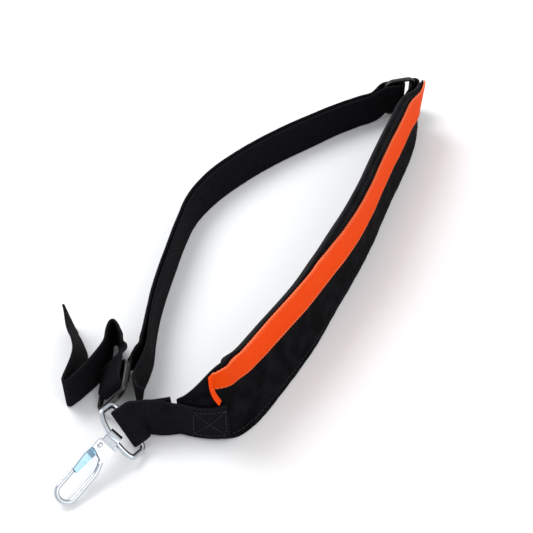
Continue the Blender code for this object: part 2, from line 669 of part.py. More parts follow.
def make_gate(steel, blue_steel, spring_steel, axis, head_face):
    """The pressed gate, its rivet through the head and the leaf spring that shuts it."""
    pivot = GATE_PIVOT
    gate_axis = empty("gate_axis", axis.matrix_world @ Matrix.Translation(pivot * MM))
    rivet("gate_rivet", pivot, head_face, steel, axis)
    lean = math.radians(GATE_REST_LEAN)
    along = Vector((math.sin(lean) * -1.0, math.cos(lean), 0.0))
    out = Vector((-along.y, along.x, 0.0))
    z_dir = Vector((0, 0, 1))
    # U channel: its back faces the hook's opening and its cheeks straddle rivet and nose.
    # Each station is its distance from the rivet, its depth and its cheeks' inner half gap.
    nose_gap = HOOK_ROD / 2 + GAP
    stations = ((-2.4, 3.2, 0.75), (0.0, 4.4, 0.75), (5.4, 4.9, 0.75), (8.4, 4.9, nose_gap),
                (14.0, 4.0, nose_gap), (GATE_LENGTH, 3.0, nose_gap))
    rings = []
    for y, depth, inner in stations:
        outer = inner + GATE_SHEET
        back = along * y - out * 2.6
        lip = back + out * depth
        web = back + out * GATE_SHEET
        rings.append([point + z_dir * z for point, z in (
            (back, -outer), (lip, -outer), (lip, -inner), (web, -inner),
            (web, inner), (lip, inner), (lip, outer), (back, outer))])
    gate = mesh_object("hook_gate", *loft(rings), blue_steel, gate_axis, world=False)
    cut_away(gate, pin_cutter("gate_pin_cutter", Vector((0, 0, 0)), gate_axis))

    # torsion spring: two close turns round the rivet, one arm on the gate, one on the shank
    turns, steps, coil_radius, wire = 2.0, 14, 1.62, 0.18
    coil_height = 0.92
    path = []
    for k in range(int(turns * steps) + 1):
        a = math.pi / 2 + 2 * math.pi * k / steps
        z = coil_height * (k / (turns * steps) - 0.5)
        path.append(pivot + Vector((coil_radius * math.cos(a), coil_radius * math.sin(a), z)))
    path = [path[0] + Vector((1.2, 0.2, 0))] + path + [path[-1] + Vector((1.2, 0.2, 0))]
    mesh_object("gate_spring", *loft(wire_rings(path, wire, 6)), spring_steel, axis,
                world=False)


def pin_cutter(name, centre, parent):
    outline = [(centre.x + PIN_HOLE * math.cos(a), centre.y + PIN_HOLE * math.sin(a))
               for a in (2 * math.pi * k / 20 for k in range(20))]
    steel = bpy.data.materials["plated_steel"]
    return mesh_object(name, *prism(outline, -9.0, 9.0), steel, parent, world=False)


def rivet(name, centre, grip, material, parent, radius=RIVET_RADIUS):
    """A pin with a domed head each end, along Z."""
    head, rise = radius * 1.75, 0.7
    z0 = grip + GAP
    profile = [(0.0, -z0 - rise), (head * 0.6, -z0 - rise * 0.85), (head, -z0),
               (radius, -z0), (radius, z0), (head, z0), (head * 0.6, z0 + rise * 0.85),
               (0.0, z0 + rise)]
    sides = 14
    verts = [centre + Vector((0, 0, profile[0][1]))]
    for r, z in profile[1:-1]:
        for k in range(sides):
            a = 2 * math.pi * k / sides
            verts.append(centre + Vector((r * math.cos(a), r * math.sin(a), z)))
    verts.append(centre + Vector((0, 0, profile[-1][1])))
    faces = []
    levels = len(profile) - 2
    for k in range(sides):
        n = (k + 1) % sides
        faces.append((0, 1 + n, 1 + k))
        for level in range(levels - 1):
            a = 1 + level * sides
            faces.append((a + k, a + n, a + sides + n, a + sides + k))
        a = 1 + (levels - 1) * sides
        faces.append((a + k, a + n, len(verts) - 1))
    return mesh_object(name, verts, faces, material, parent, world=False)


def main():
    clear_scene()
    black = finish("black_webbing", (0.018, 0.017, 0.020), 0.85)
    fabric = finish("black_pad_fabric", (0.022, 0.021, 0.026), 0.8)
    foam = finish("grey_foam", (0.20, 0.20, 0.21), 0.9)
    lining = finish("black_lining", (0.03, 0.03, 0.034), 0.9)
    orange = finish("orange_webbing", (0.95, 0.16, 0.02), 0.6)
    orange_thread = finish("orange_thread", (0.80, 0.12, 0.02), 0.6)
    black_thread = finish("black_thread", (0.03, 0.03, 0.033), 0.6)
    plastic = finish("black_plastic", (0.015, 0.015, 0.016), 0.3)
    steel = finish("plated_steel", (0.75, 0.76, 0.78), 0.22, 1.0)
    blue_steel = finish("blue_zinc_steel", (0.52, 0.63, 0.74), 0.3, 1.0)
    spring_steel = finish("spring_steel", (0.55, 0.55, 0.56), 0.35, 1.0)

    make_pad(fabric, foam, lining)
    make_stripe(orange, orange_thread)
    make_ring_tab(black, black_thread)
    make_strap(black, black_thread)
    make_slide("upper_slide", UPPER_SLIDE, UPPER_ALONG, UP, plastic)
    make_slide("lower_slide", LOWER_SLIDE, LOWER_ALONG, LOWER_UP, plastic)
    make_slide_tab(black)
    make_ring(steel)
    make_hook(steel, blue_steel, spring_steel)


main()
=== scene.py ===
"""Looks of the saxophone neck strap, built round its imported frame.

Working lengths are millimetres on the table, turned into metres when a mesh is made.
A strip is laid along a route, and every woven piece carries a `lay` attribute:
metres along it, metres across it from its middle, and 1 on its lining side.
"""

import json
import math
import random

import bmesh
import bpy
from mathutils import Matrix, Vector
from mathutils.bvhtree import BVHTree


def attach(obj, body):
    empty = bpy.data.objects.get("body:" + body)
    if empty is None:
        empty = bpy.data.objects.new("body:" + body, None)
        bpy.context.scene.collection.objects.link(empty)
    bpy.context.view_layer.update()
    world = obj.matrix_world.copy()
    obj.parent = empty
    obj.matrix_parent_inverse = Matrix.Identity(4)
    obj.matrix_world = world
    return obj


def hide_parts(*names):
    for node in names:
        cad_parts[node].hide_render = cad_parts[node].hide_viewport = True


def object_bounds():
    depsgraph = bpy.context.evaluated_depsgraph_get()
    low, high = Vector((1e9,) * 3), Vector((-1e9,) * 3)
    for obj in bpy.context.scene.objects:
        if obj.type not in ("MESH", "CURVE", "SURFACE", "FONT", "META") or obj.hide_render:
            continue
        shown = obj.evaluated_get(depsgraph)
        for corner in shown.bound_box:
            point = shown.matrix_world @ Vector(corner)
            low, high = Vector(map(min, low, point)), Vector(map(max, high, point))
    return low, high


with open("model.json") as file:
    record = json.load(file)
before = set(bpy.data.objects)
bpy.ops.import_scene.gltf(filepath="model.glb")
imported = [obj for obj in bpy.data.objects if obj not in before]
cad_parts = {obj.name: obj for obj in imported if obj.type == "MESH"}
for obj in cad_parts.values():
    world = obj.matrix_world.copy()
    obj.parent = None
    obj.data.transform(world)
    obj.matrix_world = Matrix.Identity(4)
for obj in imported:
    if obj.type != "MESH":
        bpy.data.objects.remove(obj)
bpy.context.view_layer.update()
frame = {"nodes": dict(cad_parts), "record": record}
RECORD = frame["record"]
JOINTS = {joint["name"]: joint for joint in RECORD["behaviour"]["joints"]}

# ---------------------------------------------------------------- sizes (mm)
MM = 0.001
TABLE_CENTRE = Vector((-3.6, -5.1, 0.0))
UP = Vector((0.0, 0.0, 1.0))
GAP = 0.35
SLACK = 0.6
WEBBING_WIDTH = 25.0
WEBBING_THICK = 1.7
STRIPE_WIDTH = 25.0
STRIPE_THICK = 1.2
PAD_WIDTH = 62.0
PAD_THICK = 9.4
PAD_START = 2.0
EDGE_REST = 4.2
RING_WIRE = 3.4
RING_HALF_BAR = 16.2
RING_DEPTH = 14.0
HOOK_ROD = 3.2
HOOK_HALF_WIDTH = 5.7
HOOK_BEND_Y = 39.6
NOSE_Y = 27.5                   # where the rod's nose ends, along the hook
HEAD_SHEET = 1.1
RIVET_RADIUS = 1.0
SLIDE_LENGTH = 27.0
SLIDE_HEIGHT = 32.0
SLIDE_THICK = 3.0
SLIDE_RIM = 3.2
BAR_HALF = 1.5
FOLD_RADIUS = BAR_HALF * math.sqrt(2.0) + GAP + WEBBING_THICK / 2
STITCH_LENGTH = 2.3
STITCH_PITCH = 3.1
THREAD_RADIUS = 0.28
SEWN_END = 34.0                 # stretch at the pad's near end that the tab is sewn over
STRIPE_START = 2.6              # from the pad's far end
STRIPE_STOP = 25.0              # short of the pad's near end
STRIPE_STAND = 0.25             # gap between the stripe and the cloth under it
STRIPE_STEP = 0.8
SURFACE_STEPS = 6               # stripe rows for each measured row of the pad's surface
SAW_DEPTH, SAW_PITCH = 0.34, 2.6
WEBBING_CREASE = 50.0           # degrees at which a strip's edge shades sharp
FILL_CAP = 0.0024               # furthest that a point of the pad may swell, in metres
FILL_FRAMES = 20
SLIDE_CLEAR = 19.0              # the standing strap starts this far from the upper slide
TACK_COUNT = 22

# Foot lines on the table, from the far slide to the ring
PAD_FOOT = [(119.8, 159.4), (114.0, 129.1), (104.3, 100.3), (93.4, 72.8), (83.5, 46.6),
            (74.4, 21.6), (64.4, -2.2), (53.8, -25.1), (43.4, -46.9), (33.8, -67.9),
            (22.9, -88.0), (12.0, -106.0), (1.9, -122.0), (-7.8, -135.4), (-19.0, -144.2),
            (-33.0, -144.6), (-48.0, -141.6), (-56.0, -139.2)]
STRAP_FOOT = [(94.5, 168.2), (74.7, 157.8), (55.0, 145.7), (35.7, 131.3), (16.9, 117.5),
              (-1.5, 102.6), (-19.4, 85.6), (-36.7, 65.8), (-50.8, 42.4), (-58.0, 17.6),
              (-62.7, -6.1), (-67.0, -28.8), (-70.2, -50.5), (-71.6, -71.3), (-71.9, -90.0),
              (-75.0, -105.0), (-78.2, -116.0)]
UPPER_SLIDE = Vector((105.2, 175.2, 16.8))
UPPER_ALONG = Vector((0.967, 0.255, 0.0)).normalized()
LOWER_SLIDE = Vector((-92.3, -116.4, 14.8))
LOWER_UP = Vector((0.58, -0.10, 0.80)).normalized()
LOWER_ALONG = Vector((0.02, -0.99, 0.0))
LOWER_ALONG = (LOWER_ALONG - LOWER_UP * LOWER_ALONG.dot(LOWER_UP)).normalized()


def on_table(point):
    """Metres in the frame, back to millimetres on the table."""
    return Vector(point) / MM + TABLE_CENTRE


RING_BAR = on_table(JOINTS["ring_swing"]["pos_m"])
BAR_DIR = Vector(JOINTS["ring_swing"]["axis"]).normalized()
HOOK_EYE = on_table(JOINTS["hook_swing"]["pos_m"])
CROWN_DIR = (HOOK_EYE - RING_BAR).normalized()
GATE_PIN = on_table(JOINTS["gate_open"]["pos_m"])
PIN_SIDE, PIN_ALONG = -3.4, 8.2           # the gate's pin in the hook's own X and Y
HOOK_Z = Vector(JOINTS["gate_open"]["axis"]).normalized()
PIN_ARM = GATE_PIN - HOOK_EYE
PIN_TURN = HOOK_Z.cross(PIN_ARM)
HOOK_X = (PIN_ARM * PIN_SIDE - PIN_TURN * PIN_ALONG).normalized()
HOOK_Y = (PIN_ARM * PIN_ALONG + PIN_TURN * PIN_SIDE).normalized()


# ---------------------------------------------------------------- shader expressions
class Wire:
    """A socket's value, so that shader maths reads as an expression."""

    def __init__(self, finish, socket):
        self.finish = finish
        self.socket = socket

    def math(self, operation, *values):
        return self.finish.add("ShaderNodeMath", {"operation": operation},
                               dict(enumerate(values)))

    def __add__(self, other):
        return self.math("ADD", self, other)

    __radd__ = __add__

    def __mul__(self, other):
        return self.math("MULTIPLY", self, other)

    __rmul__ = __mul__

    def __sub__(self, other):
        return self.math("SUBTRACT", self, other)

    def __rsub__(self, other):
        return self.math("SUBTRACT", other, self)

    def __truediv__(self, other):
        return self.math("DIVIDE", self, other)

    def sine(self):
        return self.math("SINE", self)

    def size(self):
        return self.math("ABSOLUTE", self)

    def whole(self):
        return self.math("FLOOR", self)

    def rest(self):
        return self.math("FRACT", self)

    def ramp(self, low, high):
        """0 below low, 1 above high, smooth between."""
        return self.finish.add("ShaderNodeMapRange", {"interpolation_type": "SMOOTHSTEP"},
                               {"Value": self, "From Min": low, "From Max": high})


class Finish:
    """One Principled material and the nodes behind its sockets."""

    def __init__(self, name, **fixed):
        self.material = bpy.data.materials.new(name)
        self.material.use_nodes = True
        self.tree = self.material.node_tree
        self.shader = self.tree.nodes["Principled BSDF"]
        for socket, value in fixed.items():
            self.shader.inputs[socket.replace("_", " ")].default_value = value

    def add(self, kind, settings=None, inputs=None, output=0):
        made = self.tree.nodes.new(kind)
        for key, value in (settings or {}).items():
            setattr(made, key, value)
        for key, value in (inputs or {}).items():
            if isinstance(value, Wire):
                self.tree.links.new(value.socket, made.inputs[key])
            else:
                made.inputs[key].default_value = value
        return Wire(self, made.outputs[output])

    def mix(self, factor, first, second):
        """A colour between two colours."""
        first = first if isinstance(first, Wire) else (*first, 1.0)
        second = second if isinstance(second, Wire) else (*second, 1.0)
        return self.add("ShaderNodeMix", {"data_type": "RGBA"},
                        {0: factor, 6: first, 7: second}, 2)

    def place(self):
        return self.add("ShaderNodeTexCoord", output=3)

    def noise(self, scale, detail=2.0, vector=None):
        return self.add("ShaderNodeTexNoise", {},
                        {"Vector": vector or self.place(), "Scale": scale, "Detail": detail})

    def lay(self):
        """Along, across and side, from the strip's own attribute."""
        vector = self.add("ShaderNodeAttribute", {"attribute_name": "lay"}, output=1)
        return [self.add("ShaderNodeSeparateXYZ", {}, {0: vector}, k) for k in range(3)]

    def bump(self, height, distance, strength=1.0):
        normal = self.add("ShaderNodeBump", {}, {"Height": height, "Distance": distance,
                                                 "Strength": strength})
        self.feed("Normal", normal)

    def feed(self, socket, wire):
        self.tree.links.new(wire.socket, self.shader.inputs[socket])


def plain_weave(along, across, weft, warp):
    """Height of a plain weave, 0 to 1, from its two thread pitches in metres."""
    u = along / weft
    w = across / warp
    parity = ((u.whole() + w.whole()) * 0.5).rest() * 2.0
    over = (u.rest() * math.pi).sine()
    under = (w.rest() * math.pi).sine()
    return over * parity + under * (1.0 - parity)


def webbing_finish(name, dark, light, edge, specular, pitch=0.0012):
    made = Finish(name, Roughness=0.85, Specular_IOR_Level=specular)
    along, across, _ = made.lay()
    weave = plain_weave(along, across, pitch, pitch * 0.8)
    blotch = made.noise(180.0, 3.0)
    # Painted highlight: both edges are coloured lighter, as where the rounded selvages catch the
    # light; the `edge` colour is that highlight.
    edge_highlight_mask = across.size().ramp(0.0108, 0.0120)
    # Painted shade in the weave: hollows between threads take the dark colour and crests the light
    # one; the blotches are random tone.
    weave_shade_and_blotch = weave * 0.55 + blotch * 0.45
    colour = made.mix(weave_shade_and_blotch, dark, light)
    made.feed("Base Color", made.mix(edge_highlight_mask, colour, edge))
    fuzz = made.noise(2600.0, 2.0)
    made.bump(weave * 0.8 + fuzz * 0.3, 0.00035, 0.8)
    made.feed("Roughness", 0.95 - weave * 0.18)
    return made.material


def pad_finish():
    """Mottled woven cover, with a brushed lining on the neck side."""
    made = Finish("pad_cloth", Roughness=0.9, Specular_IOR_Level=0.05)
    along, across, side = made.lay()
    weave = plain_weave(along, across, 0.0009, 0.0009)
    blotch = made.noise(95.0, 4.0).ramp(0.35, 0.7)
    fleck = made.noise(900.0, 2.0)
    cover = made.mix(blotch * 0.7 + fleck * 0.3, (0.0012, 0.0011, 0.0015),
                     (0.0085, 0.0080, 0.0100))
    nap = made.noise(500.0, 5.0)
    lining = made.mix(nap, (0.010, 0.010, 0.011), (0.024, 0.024, 0.026))
    made.feed("Base Color", made.mix(side, cover, lining))
    crease = made.noise(55.0, 3.0)
    made.bump(weave * (1.0 - side) * 0.5 + nap * side * 0.8 + fleck * 0.3 + crease * 1.6,
              0.0004, 0.7)
    made.feed("Roughness", 0.82 + fleck * 0.16)
    return made.material


def thread_finish(name, dark, light):
    made = Finish(name, Roughness=0.6, Specular_IOR_Level=0.25)
    twist = made.noise(3200.0, 2.0)
    made.feed("Base Color", made.mix(twist, dark, light))
    made.bump(twist, 0.0001, 0.6)
    return made.material


def plastic_finish():
    made = Finish("slide_gloss", Roughness=0.25, Specular_IOR_Level=0.5)
    grain = made.noise(1400.0, 3.0)
    rub = made.noise(60.0, 4.0)
    made.feed("Base Color", made.mix(rub, (0.004, 0.004, 0.0045), (0.010, 0.010, 0.011)))
    made.feed("Roughness", 0.20 + rub * 0.14 + grain * 0.06)
    made.bump(grain, 0.00004, 0.35)
    return made.material


def metal_finish(name, colour, stain, rough, scratch):
    """Plated steel: a bright plate with faint clouding, fine scratches and worn tone."""
    made = Finish(name, Metallic=1.0)
    cloud = made.noise(130.0, 3.0)
    stretched = made.add("ShaderNodeMapping", {},
                         {"Vector": made.place(), "Scale": (1.0, 9.0, 1.0)})
    lines = made.noise(900.0, 2.0, stretched)
    made.feed("Base Color", made.mix(cloud.ramp(0.35, 0.75), colour, stain))
    made.feed("Roughness", rough + cloud * 0.10 + lines * 0.08)
    made.bump(lines + made.noise(260.0, 2.0) * 1.5, 0.00005, scratch)
    return made.material


def floor_finish():
    made = Finish("pale_table", Roughness=0.75, Specular_IOR_Level=0.15)
    grain = made.noise(30.0, 2.0)
    made.feed("Base Color", made.mix(grain, (0.93, 0.93, 0.935), (0.945, 0.945, 0.95)))
    return made.material


# The third colour of each webbing is the painted highlight along its edges.
BLACK = webbing_finish("black_webbing", (0.0010, 0.0009, 0.0013), (0.0110, 0.0100, 0.0125),
                       (0.0100, 0.0095, 0.0115), 0.05, 0.0015)
ORANGE = webbing_finish("orange_webbing", (0.90, 0.046, 0.0008), (1.0, 0.088, 0.0015),
                        (1.0, 0.19, 0.070), 0.10, 0.0011)
CLOTH = pad_finish()
BLACK_THREAD = thread_finish("black_thread", (0.006, 0.006, 0.007), (0.022, 0.022, 0.025))
ORANGE_THREAD = thread_finish("orange_thread", (0.85, 0.09, 0.02), (1.0, 0.22, 0.08))
PLASTIC = plastic_finish()
STEEL = metal_finish("bright_plate", (0.62, 0.65, 0.69), (0.50, 0.54, 0.59), 0.10, 0.15)
BLUE_ZINC = metal_finish("blue_zinc", (0.28, 0.46, 0.60), (0.42, 0.58, 0.69), 0.16, 0.2)
SPRING = metal_finish("spring_wire", (0.50, 0.50, 0.52), (0.40, 0.40, 0.42), 0.25, 0.4)


# ---------------------------------------------------------------- mesh helpers
def piece(name, verts, faces, material, body="strap_body", lays=None, smooth_angle=None):
    """An object from table millimetres, riding on a body, with its own `lay`."""
    mesh = bpy.data.meshes.new(name)
    mesh.from_pydata([(Vector(v) - TABLE_CENTRE) * MM for v in verts], [], faces)
    if lays:
        lay = mesh.attributes.new("lay", "FLOAT_VECTOR", "POINT")
        lay.data.foreach_set("vector", [c for row in lays for c in row])
    work = bmesh.new()
    work.from_mesh(mesh)
    bmesh.ops.recalc_face_normals(work, faces=work.faces)
    work.to_mesh(mesh)
    work.free()
    mesh.shade_smooth()
    if smooth_angle:
        mesh.set_sharp_from_angle(angle=math.radians(smooth_angle))
    mesh.materials.append(material)
    item = bpy.data.objects.new(name, mesh)
    bpy.context.scene.collection.objects.link(item)
    if body:
        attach(item, body)
    return item


def spline(points, step):
    """Points every `step` or so along a smooth curve through `points`."""
    rows = [Vector(p) for p in points]
    rows = [rows[0] * 2 - rows[1]] + rows + [rows[-1] * 2 - rows[-2]]
    out = []
    for a, b, c, d in zip(rows, rows[1:], rows[2:], rows[3:]):
        count = max(1, round((c - b).length / step))
        for k in range(count):
            t = k / count
            out.append(0.5 * ((2 * b) + (c - a) * t + (2 * a - 5 * b + 4 * c - d) * t * t
                              + (3 * b - a - 3 * c + d) * t ** 3))
    out.append(rows[-2])
    return out


def tangents(path, closed=False):
    count = len(path)
    out = []
    for i in range(count):
        before = path[i - 1] if closed or i else path[i]
        after = path[(i + 1) % count] if closed or i < count - 1 else path[i]
        out.append((after - before).normalized())
    return out


def lengths(path):
    out = [0.0]
    for a, b in zip(path, path[1:]):
        out.append(out[-1] + (b - a).length)
    return out


def loft(rings, closed=False):
    size = len(rings[0])
    verts = [p for ring in rings for p in ring]
    faces = []
    last = len(rings) if closed else len(rings) - 1
    for i in range(last):
        j = (i + 1) % len(rings)
        for k in range(size):
            n = (k + 1) % size
            faces.append((i * size + k, i * size + n, j * size + n, j * size + k))
    if not closed:
        faces.append(tuple(range(size))[::-1])
        faces.append(tuple(range((len(rings) - 1) * size, len(rings) * size)))
    return verts, faces


def strip_route(rows, step):
    """Sample (x, y, z, up x, up y, up z) rows into a path and its across directions."""
    path = spline([r[:3] for r in rows], step)
    ups = []
    for a, b in zip(rows, rows[1:]):
        span = (Vector(b[:3]) - Vector(a[:3])).length
        count = max(1, round(span / step))
        for k in range(count):
            t = k / count
            t = t * t * (3 - 2 * t)
            ups.append(Vector(a[3:]).lerp(Vector(b[3:]), t).normalized())
    ups.append(Vector(rows[-1][3:]).normalized())
    return path, ups


def wire_rings(path, radius, sides, closed=False):
    ts = tangents(path, closed)
    side = ts[0].orthogonal().normalized()
    rings = []
    for p, t in zip(path, ts):
        side = (side - t * side.dot(t)).normalized()
        other = t.cross(side)
        rings.append([p + (side * math.cos(a) + other * math.sin(a)) * radius
                      for a in (2 * math.pi * k / sides for k in range(sides))])
    return rings


def arc(centre, x_dir, y_dir, radius, start, end, count):
    out = []
    for k in range(count + 1):
        a = math.radians(start + (end - start) * k / count)
        out.append(centre + (x_dir * math.cos(a) + y_dir * math.sin(a)) * radius)
    return out


def smooth(t):
    t = min(1.0, max(0.0, t))
    return t * t * (3 - 2 * t)


def strip_section(width, thick, flat=10, edge=4):
    """A flat oval: (across, out) pairs round a woven strip with rounded selvages."""
    half, r = width / 2, thick / 2
    core = half - r
    out = [(-core + 2 * core * k / flat, r) for k in range(flat + 1)]
    for k in range(1, edge):
        a = math.pi / 2 - math.pi * k / edge
        out.append((core + r * math.cos(a), r * math.sin(a)))
    out += [(core - 2 * core * k / flat, -r) for k in range(flat + 1)]
    for k in range(1, edge):
        a = -math.pi / 2 - math.pi * k / edge
        out.append((-core + r * math.cos(a), r * math.sin(a)))
    return out


def ribbon(name, path, ups, material, width=WEBBING_WIDTH, thick=WEBBING_THICK,
           ripple=0.10, seed=1):
    """A woven strip along a path, with slightly rippled selvages."""
    run = lengths(path)
    draw = random.Random(seed)
    waves = [(draw.uniform(0.05, 0.9), draw.uniform(0.0, 6.3), draw.uniform(0.4, 1.0))
             for _ in range(4)]
    rings, lays = [], []
    for p, t, up, s in zip(path, tangents(path), ups, run):
        across = (up - t * up.dot(t)).normalized()
        out = t.cross(across)
        wobble = sum(w * math.sin(f * s + a) for f, a, w in waves) * ripple / 2
        scale = 1.0 + wobble / width
        ring = []
        for w, h in strip_section(width, thick):
            ring.append(p + across * w * scale + out * h)
            lays.append((s * MM, w * MM, 0.0))
        rings.append(ring)
    made = piece(name, *loft(rings), material, lays=lays, smooth_angle=WEBBING_CREASE)
    return made


def stitch_mesh(runs, name, material, radius=THREAD_RADIUS):
    """Rows of separate stitches.  A run is (start, end, outward direction)."""
    verts, faces = [], []
    sides, steps = 6, 5
    for a, b, out in runs:
        along = b - a
        side = along.cross(out).normalized()
        base = len(verts)
        for k in range(steps + 1):
            t = k / steps
            rise = math.sin(math.pi * t)
            r = radius * (0.45 + 0.55 * math.sqrt(max(rise, 0.0)))
            centre = a + along * t + out * (rise * radius * 0.9 - radius * 0.2)
            for j in range(sides):
                q = 2 * math.pi * j / sides
                verts.append(centre + side * (r * math.cos(q)) + out * (r * math.sin(q)))
        for k in range(steps):
            for j in range(sides):
                n = (j + 1) % sides
                faces.append((base + k * sides + j, base + k * sides + n,
                              base + (k + 1) * sides + n, base + (k + 1) * sides + j))
        faces.append(tuple(base + j for j in range(sides))[::-1])
        faces.append(tuple(base + steps * sides + j for j in range(sides)))
    return piece(name, verts, faces, material)


def row_of_stitches(path, outs, pitch=STITCH_PITCH, length=STITCH_LENGTH):
    """Cut a path into stitches of one length at one pitch."""
    run = lengths(path)

    def at(s):
        i = max(k for k, r in enumerate(run[:-1]) if r <= s)
        t = (s - run[i]) / max(run[i + 1] - run[i], 1e-6)
        return path[i].lerp(path[i + 1], t), outs[i].lerp(outs[i + 1], t).normalized()
    runs = []
    s = 0.4
    while s + length < run[-1]:
        a, out = at(s)
        b, _ = at(s + length)
        runs.append((a, b, out))
        s += pitch
    return runs


# ---------------------------------------------------------------- the pad
class PadShape:
    """Maps (s along the pad, v up its outer face, n into its thickness) to the table."""

    def __init__(self):
        self.foot = spline([(x, y, 0.0) for x, y in PAD_FOOT], 2.0)
        self.dirs = tangents(self.foot)
        self.run = lengths(self.foot)
        self.length = self.run[-1]

    def at(self, s):
        s = min(max(s, 0.0), self.length)
        i = min(max(k for k, r in enumerate(self.run) if r <= s + 1e-9), len(self.run) - 2)
        t = (s - self.run[i]) / (self.run[i + 1] - self.run[i])
        point = self.foot[i].lerp(self.foot[i + 1], t)
        return point, self.dirs[i].lerp(self.dirs[i + 1], t).normalized()

    def stripe_foot(self, s):
        far = 18.0 + 9.0 * smooth(s / 48.0)
        return far + 3.5 * smooth((s - 140.0) / 150.0)

    def top(self, s):
        far = PAD_WIDTH - 17.0 * smooth((62.0 - s) / 62.0) - 8.5 * smooth((s - 150.0) / 110.0)
        far += 3.5 * smooth((s - self.length + 66.0) / 24.0)
        return far - 31.5 * smooth((s - self.length + 32.0) / 32.0)

    def face(self, s, v):
        """How far the outer face leans in and how high it is at v, and its lean angle."""
        low, low_top = self.stripe_foot(s), self.stripe_foot(s) + STRIPE_WIDTH
        near = smooth((s - 165.0) / 140.0) * (1 - smooth((s - self.length + 54.0) / 38.0))
        far = 1.0 - smooth(s / 50.0)
        splay = 6.5 + 18.0 * near - 5.0 * far
        middle = 6.5 - 4.0 * near - 11.0 * far
        bend = 8.0 - 4.0 * near
        inward = height = 0.0
        count = 14
        lean = splay
        for k in range(count):
            u = v * (k + 0.5) / count
            lean = splay + (middle - splay) * smooth((u - low + 4.0) / 8.0)
            lean += (bend - middle) * smooth((u - low_top + 3.0) / 10.0)
            inward += math.sin(math.radians(lean)) * v / count
            height += math.cos(math.radians(lean)) * v / count
        return inward, height, math.radians(lean)

    def point(self, s, v, n):
        foot, run = self.at(s)
        inside = Vector((run.y, -run.x, 0.0))
        inward, height, lean = self.face(s, v)
        height += EDGE_REST * max(0.0, math.sin(self.face(s, 0.01)[2]))
        into = inside * math.cos(lean) - Vector((0.0, 0.0, math.sin(lean)))
        return foot + inside * inward + Vector((0.0, 0.0, height)) + into * n


PAD = PadShape()


def pad_depth(s, v):
    top = PAD.top(s)
    edge = min(v, top - v) / 9.0
    ends = smooth((s - PAD_START + 8.0) / 30.0) * smooth((PAD.length - s + 12.0) / 34.0)
    return (0.42 + 0.58 * smooth(edge)) * (0.52 + 0.48 * ends) * PAD_THICK


def make_pad():
    """Cover and lining as one stuffed body, held at its seams while pressure fills it."""
    step = 4.0
    start, end = PAD_START, PAD.length - 2.0
    count = round((end - start) / step)
    rings, lays, held = [], [], []
    for i in range(count + 1):
        s = start + (end - start) * i / count
        top, low = PAD.top(s), PAD.stripe_foot(s)
        lines = [-2.4, 0.4, 4.0, low * 0.35, low * 0.68, low - 1.5, low + 1.8, low + 7.0,
                 low + 12.5, low + 18.0, min(low + 23.2, top - 4.5), top - 2.6, top - 1.0, top]
        lines = sorted(min(v, top) for v in lines)
        at_end = i < 2 or s > PAD.length - 31.0
        ring = []
        for side in (0, 1):
            for k, v in enumerate(lines if side == 0 else reversed(lines)):
                depth = pad_depth(s, v)
                rounding = smooth(min(v, top - v) / 3.0)
                if side == 0:
                    n = 0.16 * depth * (1.0 - rounding) - 1.1 * smooth(1.0 - v / 9.0)
                else:
                    n = depth * (0.84 + 0.16 * rounding)
                ring.append(PAD.point(s, v, n))
                lays.append((s * MM, (v - top / 2) * MM, float(side)))
                sewn = v < 0.1 or v > top - 0.1 or (side == 0 and k in (6, 10))
                held.append(1.0 if sewn or at_end else 0.0)
        rings.append(ring)
    size = len(rings[0])
    verts = [p for ring in rings for p in ring]
    faces = []
    for i in range(len(rings) - 1):
        for k in range(size):
            n = (k + 1) % size
            faces.append((i * size + k, i * size + n, (i + 1) * size + n, (i + 1) * size + k))
    half = size // 2
    for base in (0, (len(rings) - 1) * size):
        for k in range(half - 1):
            other = size - 1 - k
            faces.append((base + k, base + k + 1, base + other - 1, base + other))
    pad = piece("pad", verts, faces, CLOTH, body=None, lays=lays)
    fill_with_pressure(pad, held)
    pucker(pad)
    soft = pad.modifiers.new("soft", "SUBSURF")
    soft.levels = soft.render_levels = 1
    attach(pad, "strap_body")
    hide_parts("pad_cover", "pad_foam", "pad_lining")
    return pad


def fill_with_pressure(pad, held):
    """Cloth with pressure between the sewn lines; no point moves more than FILL_CAP."""
    sewn = pad.vertex_groups.new(name="sewn")
    for index, weight in enumerate(held):
        if weight:
            sewn.add([index], weight, "REPLACE")
    before = [v.co.copy() for v in pad.data.vertices]
    cloth = pad.modifiers.new("fill", "CLOTH")
    cloth.settings.quality = 6
    cloth.settings.mass = 0.15
    cloth.settings.use_pressure = True
    cloth.settings.uniform_pressure_force = 4.0
    cloth.settings.vertex_group_mass = "sewn"
    cloth.settings.effector_weights.gravity = 0.0
    cloth.point_cache.frame_start, cloth.point_cache.frame_end = 1, FILL_FRAMES
    scene = bpy.context.scene
    for number in range(1, FILL_FRAMES + 1):
        scene.frame_set(number)
    graph = bpy.context.evaluated_depsgraph_get()
    swollen = [v.co.copy() for v in pad.evaluated_get(graph).data.vertices]
    pad.modifiers.remove(cloth)
    scene.frame_set(1)
    for vertex, start, now in zip(pad.data.vertices, before, swollen):
        move = now - start
        if move.length > FILL_CAP:
            move = move.normalized() * FILL_CAP
        vertex.co = start + move
        vertex.co.z = max(vertex.co.z, 0.0)
    pad.vertex_groups.clear()


def pucker(pad):
    """Small gathers where the cover is sewn down, along its long seams."""
    lay = [tuple(row.vector) for row in pad.data.attributes["lay"].data]
    normals = [v.normal.copy() for v in pad.data.vertices]
    for vertex, normal, (s, _, side) in zip(pad.data.vertices, normals, lay):
        s = s / MM
        if side or s > PAD.length - 32.0:
            continue
        gather = math.sin(s * 0.52 + 1.7 * math.sin(s * 0.11)) * math.sin(s * 0.19 + 2.0)
        vertex.co += normal * gather * 0.28 * MM


def surface_tree(item):
    """The shown surface of a piece, for laying other pieces on it."""
    graph = bpy.context.evaluated_depsgraph_get()
    shown = item.evaluated_get(graph)
    mesh = shown.data
    verts = [v.co.copy() for v in mesh.vertices]
    return BVHTree.FromPolygons(verts, [tuple(p.vertices) for p in mesh.polygons])


